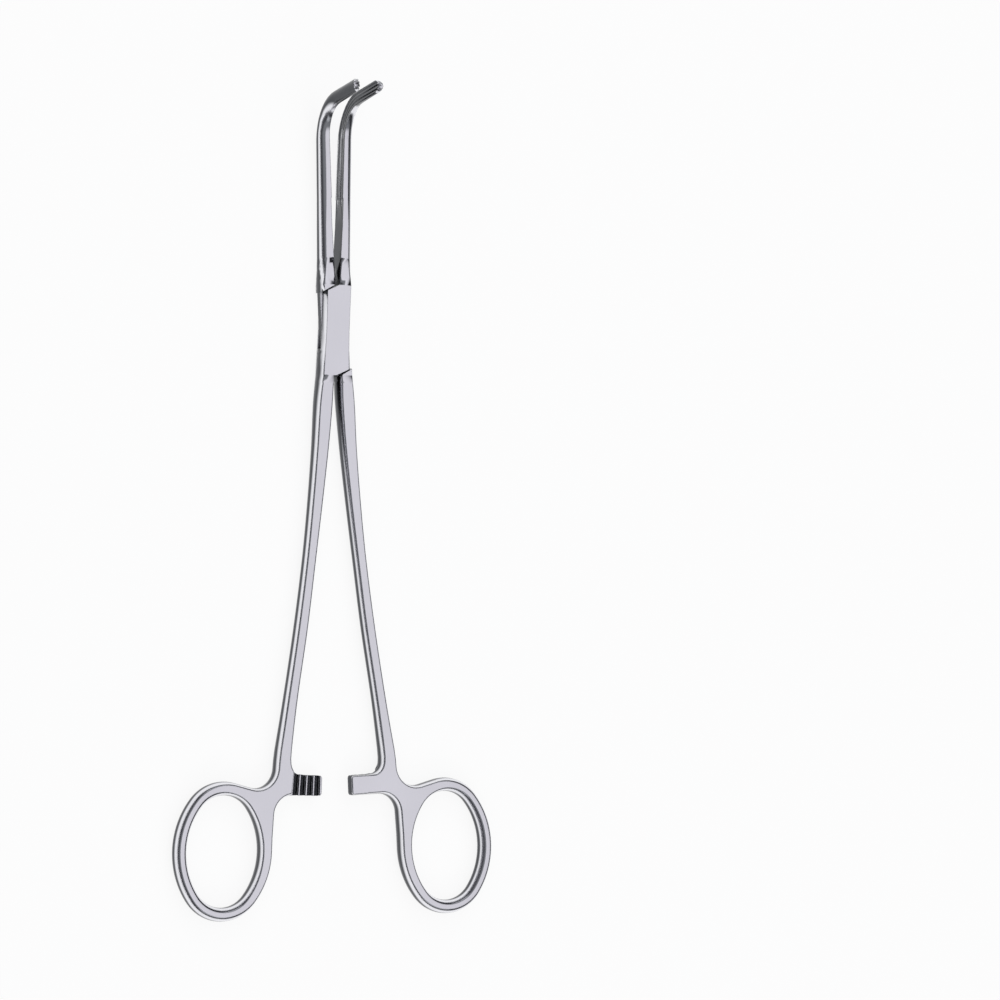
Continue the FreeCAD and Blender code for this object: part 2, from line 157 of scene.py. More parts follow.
class ForcepsShape(bpy.types.PropertyGroup):
    """Sizes of the handles, with the jaws shut."""

    join_y: bpy.props.FloatProperty(
        name="Join", description="Where the handle leaves the end of the box lock",
        default=-14.5 * MM, unit="LENGTH", precision=5)
    join_gap: bpy.props.FloatProperty(
        name="Join length", description="Length of the blend between lock and handle",
        default=0.3 * MM, unit="LENGTH", precision=5)
    ring_x: bpy.props.FloatProperty(
        name="Ring side", description="Middle of the finger ring from the middle line",
        default=27.6 * MM, unit="LENGTH", precision=5)
    ring_y: bpy.props.FloatProperty(
        name="Ring place", description="Middle of the finger ring from the pivot",
        default=-142.75 * MM, unit="LENGTH", precision=5)
    ring_half_width: bpy.props.FloatProperty(
        name="Ring half width", description="To the middle of the ring's bar",
        default=12.4 * MM, unit="LENGTH", precision=5)
    ring_half_height: bpy.props.FloatProperty(
        name="Ring half height", description="To the middle of the ring's bar",
        default=16.85 * MM, unit="LENGTH", precision=5)
    ring_end_radius: bpy.props.FloatProperty(
        name="Ring end radius", description="Radius of the ring's two ends",
        default=10.2 * MM, unit="LENGTH", precision=5)
    ring_tube: bpy.props.FloatProperty(
        name="Ring bar", description="Width of the ring's bar",
        default=3.7 * MM, unit="LENGTH", precision=5)
    ring_bulge: bpy.props.FloatProperty(
        name="Ring roundness", description="Bulge of the sides of the ring's bar",
        default=1.15 * MM, unit="LENGTH", precision=5)
    side_bulge: bpy.props.FloatProperty(
        name="Side roundness", description="Bulge of the sides of web and branch",
        default=0.7 * MM, unit="LENGTH", precision=5)
    handle_thickness: bpy.props.FloatProperty(
        name="Handle thickness", description="Thickness of ring and web",
        default=4.9 * MM, unit="LENGTH", precision=5)
    rack_radius: bpy.props.FloatProperty(
        name="Rack radius", description="Middle of the rack from the pivot",
        default=124.5 * MM, unit="LENGTH", precision=5)
    rack_width: bpy.props.FloatProperty(
        name="Rack width", description="Width of the ratchet rack",
        default=5.6 * MM, unit="LENGTH", precision=5)
    rack_reach: bpy.props.FloatProperty(
        name="Rack reach", description="How far the rack passes the middle line",
        default=1.2 * MM, unit="LENGTH", precision=5)
    rack_root: bpy.props.FloatProperty(
        name="Rack root", description="Where the halved part of the rack begins",
        default=8.65 * MM, unit="LENGTH", precision=5)
    rack_bulge: bpy.props.FloatProperty(
        name="Rack roundness", description="Bulge of the rack's sides",
        default=0.3 * MM, unit="LENGTH", precision=5)
    rack_gap: bpy.props.FloatProperty(
        name="Rack gap", description="Between the crests of the two racks",
        default=0.08 * MM, unit="LENGTH", precision=5)
    tooth_pitch: bpy.props.FloatProperty(
        name="Tooth pitch", description="Distance between the ratchet's teeth",
        default=2.1 * MM, unit="LENGTH", precision=5)
    tooth_height: bpy.props.FloatProperty(
        name="Tooth height", description="Height of the ratchet's teeth",
        default=0.75 * MM, unit="LENGTH", precision=5)
    tooth_count: bpy.props.IntProperty(
        name="Teeth", description="Number of teeth of each rack", default=4, min=1)
    edge_radius: bpy.props.FloatProperty(
        name="Edge radius", description="Rounding between the flat faces and the sides",
        default=0.3 * MM, unit="LENGTH", precision=5)


class ForcepsFinish(bpy.types.PropertyGroup):
    """Colours and textures of the steel, with painted reflections on the sides and painted shade in
    crevices.
    """

    ground_colour: bpy.props.FloatVectorProperty(
        name="Ground face", description="Steel of the flat ground faces",
        subtype="COLOR", size=3, min=0.0, max=1.0, default=(0.68, 0.67, 0.72))
    # Painted reflections on the polished sides: dark side, bright shoulder highlight and dark edge
    # line, chosen by slope
    painted_side_reflection: bpy.props.FloatVectorProperty(
        name="Side", description="Polished sides where they mirror the dark of the room",
        subtype="COLOR", size=3, min=0.0, max=1.0, default=(0.065, 0.068, 0.075))
    painted_shoulder_highlight: bpy.props.FloatVectorProperty(
        name="Shoulder", description="Polished sides where they mirror the light overhead",
        subtype="COLOR", size=3, min=0.0, max=1.0, default=(0.84, 0.84, 0.88))
    painted_edge_reflection: bpy.props.FloatVectorProperty(
        name="Edge", description="Line between the polished sides and the ground faces",
        subtype="COLOR", size=3, min=0.0, max=1.0, default=(0.17, 0.175, 0.19))
    # Painted shade: dark colour laid into slits, grooves and other hollows by ambient occlusion
    crevice_shade_colour: bpy.props.FloatVectorProperty(
        name="Crevice", description="Steel inside slits and between teeth",
        subtype="COLOR", size=3, min=0.0, max=1.0, default=(0.06, 0.065, 0.07))
    ground_roughness: bpy.props.FloatProperty(
        name="Ground roughness", description="Roughness of the ground faces",
        min=0.0, max=1.0, default=0.42)
    polished_roughness: bpy.props.FloatProperty(
        name="Polished roughness", description="Roughness of the polished sides",
        min=0.0, max=1.0, default=0.22)
    grain_width: bpy.props.FloatProperty(
        name="Grain width", description="Distance between the grinding lines",
        min=0.00005, max=0.002, default=0.00022, precision=5, unit="LENGTH")
    grain_depth: bpy.props.FloatProperty(
        name="Grain depth", description="Depth of the grinding lines",
        min=0.0, max=0.0002, default=0.000008, precision=6, unit="LENGTH")
    worn_radius: bpy.props.FloatProperty(
        name="Worn edge", description="Rounding of the edges by use and polishing",
        min=0.0, max=0.001, default=0.00028, precision=5, unit="LENGTH")


class ForcepsStage(bpy.types.PropertyGroup):
    """Camera, floor and lamps."""

    turn: bpy.props.FloatProperty(
        name="Turn", description="How far the camera stands to the left of the upright",
        subtype="ANGLE", default=math.radians(25.0))
    tip: bpy.props.FloatProperty(
        name="Tip", description="How far the camera stands towards the finger rings",
        subtype="ANGLE", default=math.radians(3.0))
    roll: bpy.props.FloatProperty(
        name="Roll", description="Roll of the camera about its own line of sight",
        subtype="ANGLE", default=math.radians(-0.16))
    distance: bpy.props.FloatProperty(
        name="Distance", description="Distance of the camera from its target",
        min=0.1, default=0.9, unit="LENGTH")
    target: bpy.props.FloatVectorProperty(
        name="Target", description="Point that the camera looks at",
        size=3, subtype="TRANSLATION", unit="LENGTH", default=(0.0, -0.045, 0.003))
    view_width: bpy.props.FloatProperty(
        name="View width", description="Width of the picture at the target",
        min=0.01, default=0.274, unit="LENGTH")
    shift: bpy.props.FloatVectorProperty(
        name="Shift", description="Shift of the picture, as shares of its width",
        size=2, default=(0.166, -0.0054))
    floor_colour: bpy.props.FloatVectorProperty(
        name="Floor", description="Colour of the floor",
        subtype="COLOR", size=3, min=0.0, max=1.0, default=(0.96, 0.96, 0.96))


# Plan outlines of the right handle, with the jaws shut

def eased(y):
    """Inner edge, outer edge, thickness and bulge of the shank at a height in plan."""
    last = len(SHANK) - 1
    place = y / MM
    i = 0
    while i < last - 1 and place < SHANK[i + 1][0]:
        i += 1
    before, start, end, after = SHANK[max(i - 1, 0)], SHANK[i], SHANK[i + 1], SHANK[min(i + 2, last)]
    span = end[0] - start[0]
    share = min(max((place - start[0]) / span, 0.0), 1.0)
    sizes = []
    for k in range(1, len(start)):
        slope_in = (end[k] - before[k]) / (end[0] - before[0]) * span
        slope_out = (after[k] - start[k]) / (after[0] - start[0]) * span
        rise = end[k] - start[k]
        bend = slope_in + slope_out - 2.0 * rise
        ease = 3.0 * rise - 2.0 * slope_in - slope_out
        sizes.append((start[k] + share * (slope_in + share * (ease + share * bend))) * MM)
    return sizes


def half_thickness(y):
    """Half the thickness of the handle at a height in plan."""
    return eased(y)[2] / 2.0


def shank_edge(side, start, end):
    """Points (x, y, radius, bulge) along one edge of the shank; side 0 is the inner one."""
    count = max(2, round(abs(end - start) / SHANK_STEP))
    points = []
    for i in range(count + 1):
        y = start + (end - start) * i / count
        sizes = eased(y)
        points.append((sizes[side], y, 0.0, sizes[3]))
    return points


def rounded_path(corners):
    """Points (x, y, bulge) through corners (x, y, radius, bulge), turned into arcs."""
    path = [(corners[0][0], corners[0][1], corners[0][3])]
    for before, here, after in zip(corners, corners[1:], corners[2:]):
        corner = Vector(here[:2])
        radius, bulge = here[2:]
        back = (Vector(before[:2]) - corner).normalized()
        ahead = (Vector(after[:2]) - corner).normalized()
        half = back.angle(ahead) / 2.0
        if radius == 0.0:
            path.append((corner.x, corner.y, bulge))
            continue
        start = corner + back * (radius / math.tan(half))
        centre = corner + (back + ahead).normalized() * (radius / math.sin(half))
        turn = math.pi - 2.0 * half
        side = math.copysign(1.0, ahead.x * back.y - ahead.y * back.x)
        steps = max(2, round(turn / ARC_STEP))
        for step in range(steps + 1):
            arm = Matrix.Rotation(side * turn * step / steps, 2) @ (start - centre)
            path.append((centre.x + arm.x, centre.y + arm.y, bulge))
    path.append((corners[-1][0], corners[-1][1], corners[-1][3]))
    return path


def ring_point(shape, angle, offset):
    """Point of the ring's oval where it faces the angle, moved out by an offset."""
    side = Vector((math.cos(angle), math.sin(angle)))
    wide = shape.ring_half_width
    end = shape.ring_end_radius
    rise = shape.ring_half_height - end
    flank = (wide ** 2 + rise ** 2 - end ** 2) / (2.0 * (wide - end))
    middle = Vector((shape.ring_x, shape.ring_y))
    if abs(side.y) * (flank - end) < rise:
        centre = Vector((-math.copysign(flank - wide, side.x), 0.0))
        return middle + centre + side * (flank + offset)
    return middle + Vector((0.0, math.copysign(rise, side.y))) + side * (end + offset)


def ring_roundness(shape, angle):
    """Bulge of the ring's sides: slight beside the web, full round the far side."""
    away = abs((math.degrees(angle) - WEB_ANGLE + 180.0) % 360.0 - 180.0)
    share = min(max((away - ROUNDER_FROM) / ROUNDER_OVER, 0.0), 1.0)
    share = share * share * (3.0 - 2.0 * share)
    return shape.side_bulge + (shape.ring_bulge - shape.side_bulge) * share


def ring_path(shape, start, end, offset):
    """Points (x, y, bulge) along the ring between two angles, turning left."""
    steps = round(RING_STEPS * (end - start) / (2.0 * math.pi))
    points = []
    for step in range(steps + 1):
        angle = start + (end - start) * step / steps
        place = ring_point(shape, angle, offset)
        points.append((place.x, place.y, ring_roundness(shape, angle)))
    return points


def saddle_angle(shape, corner):
    """Angle at which a line from the crotch's corner touches the ring's outside."""
    end = shape.ring_end_radius
    centre = Vector((shape.ring_x, shape.ring_y + shape.ring_half_height - end))
    arm = Vector(corner) - centre
    touch = math.acos((end + shape.ring_tube / 2.0) / arm.length)
    return math.atan2(arm.y, arm.x) - touch + 2.0 * math.pi


def handle_outline(shape):
    """Outside of the handle from the lock round rack and ring, and where it follows the ring."""
    top = -shape.rack_radius + shape.rack_width / 2.0
    bottom = -shape.rack_radius - shape.rack_width / 2.0
    end = -shape.rack_reach
    flank = shape.rack_bulge
    bulge = shape.side_bulge
    half_bar = shape.ring_tube / 2.0
    branch_x = shape.ring_x - shape.ring_half_width - half_bar
    crotch_y = SHANK[-1][0] * MM
    inner_x, outer_x = eased(crotch_y)[:2]
    middle_x = (inner_x + end) / 2.0
    down = shank_edge(0, shape.join_y - shape.join_gap, crotch_y + SHANK_STEP)
    down += [
        (inner_x - FOOT_LEAN, crotch_y - FOOT_DROP, 0.0, bulge),
        (inner_x - NECK_LEAN, top + NECK_RISE, NECK_FILLET, bulge),
        (middle_x, top, RACK_BEND, flank),
        (end, top, RACK_CORNER, flank),
        (end, bottom, RACK_CORNER, flank),
        (middle_x, bottom, RACK_BEND, flank),
        (branch_x - BRANCH_LEAN, bottom - BRANCH_DROP, BRANCH_FILLET, bulge),
    ]
    down += [(branch_x, shape.ring_y + above, 0.0, bulge) for above in BRANCH_ABOVE_RING]
    crotch = (outer_x + CROTCH_LEAN, -shape.rack_radius - CROTCH_DROP)
    touch = saddle_angle(shape, crotch)
    round_ring = ring_path(shape, math.pi, touch, half_bar)
    last = round_ring[-1]
    up = [
        (last[0], last[1], 0.0, last[2]),
        crotch + (CROTCH_FILLET, bulge),
        (outer_x, crotch_y - CROTCH_START, 0.0, bulge),
    ]
    up += shank_edge(1, crotch_y + SHANK_STEP, shape.join_y - shape.join_gap)
    inner_side = rounded_path(down)[:-1]
    return inner_side + round_ring[:-1] + rounded_path(up), len(inner_side), touch


def settled(path, rounds, closed):
    """The path with its bulges evened out between neighbours."""
    bulges = [point[2] for point in path]
    count = len(bulges)
    for turn in range(rounds):
        if closed:
            bulges = [(bulges[i - 1] + bulges[i] + bulges[(i + 1) % count]) / 3.0 for i in range(count)]
        else:
            inside = [sum(bulges[i - 1:i + 2]) / 3.0 for i in range(1, count - 1)]
            bulges = [bulges[0]] + inside + [bulges[-1]]
    return [(point[0], point[1], bulge) for point, bulge in zip(path, bulges)]


# Solid handle

def side_profile(bulge, half, edge):
    """Inset and height of a side, from its widest line to a little way across the face."""
    radius = (half ** 2 + bulge ** 2) / (2.0 * bulge)

    def inset(height):
        return radius - math.sqrt(radius ** 2 - height ** 2)

    levels = [(inset(half * share), half * share) for share in SIDE_SHARES]
    shoulder = half - edge
    low = Vector((inset(shoulder), shoulder))
    corner = Vector((bulge, half))
    high = Vector((bulge + edge, half))
    for share in EDGE_SHARES:
        place = low * (1.0 - share) ** 2 + corner * 2.0 * share * (1.0 - share) + high * share ** 2
        levels.append((place.x, place.y))
    levels.append((bulge + FACE_START * edge, half))
    return levels


def inward_sides(path, closed, turn):
    """Unit vector into the material at each point of a path."""
    places = [Vector(point[:2]) for point in path]
    count = len(places)
    sides = []
    for i in range(count):
        before = places[i - 1] if closed or i > 0 else places[i]
        after = places[(i + 1) % count] if closed or i < count - 1 else places[i]
        steps = (places[i] - before, after - places[i])
        along = sum((step.normalized() for step in steps if step.length > 0), Vector((0.0, 0.0)))
        along.normalize()
        sides.append(Vector((-along.y, along.x)) * turn)
    return sides


def side_wall(form, shape, path, closed, turn):
    """Grid bent into a rounded wall along a path; returns its rows of vertices, lowest first."""
    stations = []
    for (x, y, bulge), side in zip(path, inward_sides(path, closed, turn)):
        up = side_profile(bulge, half_thickness(y), shape.edge_radius)
        down = [(inset, -height) for inset, height in reversed(up[1:])]
        stations.append([
            (x + side.x * inset, y + side.y * inset, MID_Z + height) for inset, height in down + up
        ])
    if closed:
        stations.append(stations[0])
    wide, high = len(stations), len(stations[0])
    grid = bmesh.ops.create_grid(form, x_segments=wide - 1, y_segments=high - 1, size=MM)["verts"]
    rows = [grid[level * wide:(level + 1) * wide] for level in range(high)]
    for level, row in enumerate(rows):
        for vert, station in zip(row, stations):
            vert.co = station[level]
    if closed:
        bmesh.ops.weld_verts(form, targetmap={row[-1]: row[0] for row in rows})
        rows = [row[:-1] for row in rows]
    return rows


def handle_form(shape):
    """Closed right handle: two walls, the faces between them and the end at the lock."""
    form = bmesh.new()
    outline, first, touch = handle_outline(shape)
    bar = -shape.ring_tube / 2.0
    beside = ring_path(shape, math.pi, touch, bar)
    behind = ring_path(shape, touch, 3.0 * math.pi, bar)
    outer = side_wall(form, shape, settled(outline, OUTLINE_ROUNDS, False), False, 1.0)
    opening = settled(beside + behind[1:-1], OPENING_ROUNDS, True)
    inner = side_wall(form, shape, opening, True, -1.0)
    count = len(beside) - 1
    last = first + count
    web = len(shank_edge(0, shape.join_y - shape.join_gap, SHANK[-1][0] * MM + SHANK_STEP)) - 1
    # Faces: web and rack in one, strips along the shank, strips round the ring, end at the lock
    for level in (0, -1):
        rim, hole = outer[level], inner[level]
        form.faces.new(rim[web:first + 1] + hole[:1] + hole[:count - 1:-1] + rim[last:len(rim) - web])
        for i in range(web):
            form.faces.new((rim[i], rim[i + 1], rim[-2 - i], rim[-1 - i]))
        for i in range(count):
            form.faces.new(rim[first + i:first + i + 2] + [hole[i + 1], hole[i]])
    ends = [[row[side] for row in outer] for side in (0, -1)]
    form.faces.new(ends[0] + ends[1][::-1])
    large = [face for face in form.faces if len(face.verts) > 4]
    # In millimetres the short edges are well above rounding
    bmesh.ops.scale(form, verts=form.verts, vec=(1.0 / MM,) * 3)
    bmesh.ops.triangulate(form, faces=large, ngon_method="EAR_CLIP")
    bmesh.ops.scale(form, verts=form.verts, vec=(MM,) * 3)
    bmesh.ops.recalc_face_normals(form, faces=form.faces)
    return form


def rack_cutter(shape):
    """What is cut from the back of the right rack: its rear half and the tooth grooves."""
    form = bmesh.new()
    near = shape.rack_width - shape.rack_radius
    far = -shape.rack_width - shape.rack_radius
    crest = MID_Z + shape.rack_gap / 2.0
    low = MID_Z - shape.handle_thickness
    outside = -shape.rack_reach - CUT_MARGIN
    profile = [(outside, low), (outside, crest)]
    for i in range(shape.tooth_count):
        start = FIRST_TOOTH - shape.rack_reach + shape.tooth_pitch * i
        profile.append((start, crest))
        profile.append((start, crest + shape.tooth_height))
        profile.append((start + shape.tooth_pitch - TOOTH_LAND, crest))
    profile += [(shape.rack_root, crest), (shape.rack_root, low)]
    verts = [form.verts.new((x * near / -shape.rack_radius, near, z)) for x, z in profile]
    face = form.faces.new(verts)
    grown = bmesh.ops.extrude_face_region(form, geom=[face])["geom"]
    moved = [item for item in grown if isinstance(item, bmesh.types.BMVert)]
    bmesh.ops.translate(form, verts=moved, vec=(0.0, far - near, 0.0))
    bmesh.ops.scale(form, verts=moved, vec=(far / near, 1.0, 1.0))
    bmesh.ops.recalc_face_normals(form, faces=form.faces)
    return form


def as_object(form, name):
    """Object in the scene from a bmesh, which is freed."""
    mesh = bpy.data.meshes.new(name)
    form.to_mesh(mesh)
    form.free()
    item = bpy.data.objects.new(name, mesh)
    bpy.context.scene.collection.objects.link(item)
    return item


def cut_rack(shape):
    """Mesh of the right handle with its rack halved and toothed."""
    handle = as_object(handle_form(shape), "handle_blank")
    cutter = as_object(rack_cutter(shape), "rack_cutter")
    cut = handle.modifiers.new("rack", "BOOLEAN")
    cut.operation = "DIFFERENCE"
    cut.solver = "EXACT"
    cut.object = cutter
    finished = handle.evaluated_get(bpy.context.evaluated_depsgraph_get())
    mesh = bpy.data.meshes.new_from_object(finished)
    for item in (handle, cutter):
        blank = item.data
        bpy.data.objects.remove(item)
        bpy.data.meshes.remove(blank)
    return mesh


# Halves

def lock_and_jaw(form, node, shape, turn):
    """Adds the node's lock and jaw to a form, cut off just below the box lock."""
    form.from_mesh(node.data)
    bmesh.ops.remove_doubles(form, verts=form.verts, dist=MERGE_DISTANCE)
    along = Matrix.Rotation(turn, 3, "Z") @ Vector((0.0, 1.0, 0.0))
    geometry = form.verts[:] + form.edges[:] + form.faces[:]
    bmesh.ops.bisect_plane(
        form, geom=geometry, plane_co=along * shape.join_y, plane_no=along, clear_inner=True)


def add_handle(form, mesh, shape, turn, turned_over):
    """Adds the handle to a form, turned to the rest pose and open at the lock."""
    old = set(form.verts)
    form.from_mesh(mesh)
    new = [vert for vert in form.verts if vert not in old]
    near = shape.join_y - shape.join_gap - SHANK_STEP / 2.0
    end = [
        face for face in form.faces
        if all(vert not in old and vert.co.y > near for vert in face.verts)
    ]
    bmesh.ops.delete(form, geom=end, context="FACES")
    place = Matrix.Rotation(turn, 4, "Z")
    if turned_over:
        axis = Matrix.Translation((0.0, 0.0, MID_Z))
        place = place @ axis @ Matrix.Rotation(math.pi, 4, "Y") @ axis.inverted()
    bmesh.ops.transform(form, matrix=place, verts=[vert for vert in new if vert.is_valid])


def forging(node, handle, shape, turn, turned_over):
    """One forged half: lock and jaw from the frame, blended into the rounded handle."""
    form = bmesh.new()
    lock_and_jaw(form, node, shape, turn)
    add_handle(form, handle, shape, turn, turned_over)
    rims = [edge for edge in form.edges if edge.is_boundary]
    bmesh.ops.bridge_loops(form, edges=rims)
    bmesh.ops.recalc_face_normals(form, faces=form.faces)
    piece = as_object(form, node.name + "_forging")
    piece.data.shade_smooth()
    piece.data.set_sharp_from_angle(angle=SHARP_ANGLE)
    for face in piece.data.polygons:
        if abs(face.normal.z) > FLAT_FACE:
            face.use_smooth = False
    level = piece.modifiers.new("level_faces", "WEIGHTED_NORMAL")
    level.mode = "FACE_AREA"
    level.weight = FACE_WEIGHT
    level.keep_sharp = True
    return piece


# Small helpers for node trees

def new_group(name, inputs, outputs):
    """Shader node group with inputs (name, kind, default) and outputs (name, kind)."""
    group = bpy.data.node_groups.new(name, "ShaderNodeTree")
    for label, kind, value in inputs:
        socket = group.interface.new_socket(label, in_out="INPUT", socket_type=kind)
        if value is not None:
            socket.default_value = value
    for label, kind in outputs:
        group.interface.new_socket(label, in_out="OUTPUT", socket_type=kind)
    entry = group.nodes.new("NodeGroupInput")
    leave = group.nodes.new("NodeGroupOutput")
    return group, entry, leave


def maths(tree, operation, a, b=None, c=None, clamp=False):
    """Math node fed by sockets or plain numbers; returns its output."""
    node = tree.nodes.new("ShaderNodeMath")
    node.operation = operation
    node.use_clamp = clamp
    for i, value in enumerate((a, b, c)):
        if value is None:
            continue
        if isinstance(value, (int, float)):
            node.inputs[i].default_value = value
        else:
            tree.links.new(value, node.inputs[i])
    return node.outputs[0]


def smooth_step(tree, value, low, high):
    """Eases a value from 0 at low to 1 at high."""
    node = tree.nodes.new("ShaderNodeMapRange")
    node.interpolation_type = "SMOOTHSTEP"
    node.inputs["From Min"].default_value = low
    node.inputs["From Max"].default_value = high
    tree.links.new(value, node.inputs["Value"])
    return node.outputs["Result"]


def noise(tree, vector, scale, detail, roughness=0.5):
    """Noise texture; scale is a socket or a number."""
    node = tree.nodes.new("ShaderNodeTexNoise")
    if isinstance(scale, bpy.types.NodeSocket):
        tree.links.new(scale, node.inputs["Scale"])
    else:
        node.inputs["Scale"].default_value = scale
    node.inputs["Detail"].default_value = detail
    node.inputs["Roughness"].default_value = roughness
    tree.links.new(vector, node.inputs["Vector"])
    return node.outputs["Fac"]


def mixed(tree, kind, factor, a, b):
    """Mix of the kind RGBA or VECTOR; a and b are sockets, or colours."""
    node = tree.nodes.new("ShaderNodeMix")
    node.data_type = kind
    tree.links.new(factor, node.inputs["Factor"])
    for name, value in (("A", a), ("B", b)):
        socket = [s for s in node.inputs if s.name == name and s.type == kind][0]
        if isinstance(value, bpy.types.NodeSocket):
            tree.links.new(value, socket)
        else:
            socket.default_value = tuple(value)[:3] + (1.0,)
    return [s for s in node.outputs if s.type == kind][0]


# Shared effects

def grinding_group():
    """Fine lines left by the grinding belt, long in Y, with slow cloudy variation."""
    group, entry, leave = new_group(
        "grinding_lines",
        [("Vector", "NodeSocketVector", None), ("Lines per metre", "NodeSocketFloat", 4500.0)],
        [("Lines", "NodeSocketFloat"), ("Clouds", "NodeSocketFloat")])
    stretch = group.nodes.new("ShaderNodeVectorMath")
    stretch.operation = "MULTIPLY"
    stretch.inputs[1].default_value = GRAIN_STRETCH
    group.links.new(entry.outputs["Vector"], stretch.inputs[0])
    per_metre = entry.outputs["Lines per metre"]
    lines = noise(group, stretch.outputs[0], per_metre, GRAIN_DETAIL, GRAIN_HARSHNESS)
    clouds = noise(group, entry.outputs["Vector"], CLOUDS_PER_METRE, CLOUD_DETAIL)
    group.links.new(lines, leave.inputs["Lines"])
    group.links.new(clouds, leave.inputs["Clouds"])
    return group


def reflection_bands_group():
    """Painted reflections: tones from the dark side over its bright shoulder and the dark edge to the
    ground face, by the slope of the normal.
    """
    group, entry, leave = new_group(
        "painted_reflection_bands",
        [("Normal", "NodeSocketVector", None), ("Side", "NodeSocketColor", None),
         ("Shoulder", "NodeSocketColor", None), ("Edge", "NodeSocketColor", None),
         ("Face", "NodeSocketColor", None)],
        [("Color", "NodeSocketColor"), ("Ground", "NodeSocketFloat")])
    turned = group.nodes.new("ShaderNodeVectorTransform")
    turned.vector_type = "NORMAL"
    turned.convert_from = "WORLD"
    turned.convert_to = "OBJECT"
    group.links.new(entry.outputs["Normal"], turned.inputs[0])
    split = group.nodes.new("ShaderNodeSeparateXYZ")
    group.links.new(turned.outputs[0], split.inputs[0])
    upright = maths(group, "ABSOLUTE", split.outputs["Z"])
    colour = entry.outputs["Side"]
    bands = (("Shoulder", SHOULDER_SLOPES), ("Edge", EDGE_SLOPES), ("Face", GROUND_SLOPES))
    for name, slopes in bands:
        ground = smooth_step(group, upright, *slopes)
        colour = mixed(group, "RGBA", ground, colour, entry.outputs[name])
    group.links.new(colour, leave.inputs["Color"])
    group.links.new(ground, leave.inputs["Ground"])
    return group


def edge_group():
    """Rounded normal of worn edges, and a mask of the edges themselves."""
    group, entry, leave = new_group(
        "worn_edges",
        [("Radius", "NodeSocketFloat", 0.0002)],
        [("Normal", "NodeSocketVector"), ("Edges", "NodeSocketFloat")])
    rounded = group.nodes.new("ShaderNodeBevel")
    rounded.samples = 6
    group.links.new(entry.outputs["Radius"], rounded.inputs["Radius"])
    own = group.nodes.new("ShaderNodeNewGeometry")
    match = group.nodes.new("ShaderNodeVectorMath")
    match.operation = "DOT_PRODUCT"
    group.links.new(rounded.outputs["Normal"], match.inputs[0])
    group.links.new(own.outputs["Normal"], match.inputs[1])
    bend = maths(group, "SUBTRACT", 1.0, match.outputs["Value"])
    edges = smooth_step(group, bend, *WORN_BENDS)
    group.links.new(rounded.outputs["Normal"], leave.inputs["Normal"])
    group.links.new(edges, leave.inputs["Edges"])
    return group


def openness_group():
    """How much of the room a spot sees: 1 on open faces and sides, 0 in slits and grooves; it masks the
    painted shade.
    """
    group, entry, leave = new_group(
        "openness",
        [("Reach", "NodeSocketFloat", 0.003)],
        [("Open", "NodeSocketFloat")])
    room = group.nodes.new("ShaderNodeAmbientOcclusion")
    room.samples = 12
    group.links.new(entry.outputs["Reach"], room.inputs["Distance"])
    group.links.new(smooth_step(group, room.outputs["AO"], *OPEN_SHARES), leave.inputs["Open"])
    return group


def pin_group():
    """Mask of the flush end of the pivot pin, where no edge is left to see."""
    group, entry, leave = new_group(
        "flush_pin",
        [("Vector", "NodeSocketVector", None), ("Radius", "NodeSocketFloat", 0.0022)],
        [("Pin", "NodeSocketFloat")])
    level = group.nodes.new("ShaderNodeVectorMath")
    level.operation = "MULTIPLY"
    level.inputs[1].default_value = (1.0, 1.0, 0.0)
    group.links.new(entry.outputs["Vector"], level.inputs[0])
    reach = group.nodes.new("ShaderNodeVectorMath")
    reach.operation = "LENGTH"
    group.links.new(level.outputs[0], reach.inputs[0])
    inside = maths(group, "LESS_THAN", reach.outputs["Value"], entry.outputs["Radius"])
    group.links.new(inside, leave.inputs["Pin"])
    return group


def placed_group(tree, group, **values):
    """Group node in a material, its plain inputs set by name with spaces as underscores."""
    node = tree.nodes.new("ShaderNodeGroup")
    node.node_tree = group
    for name, value in values.items():
        node.inputs[name.replace("_", " ")].default_value = value
    return node


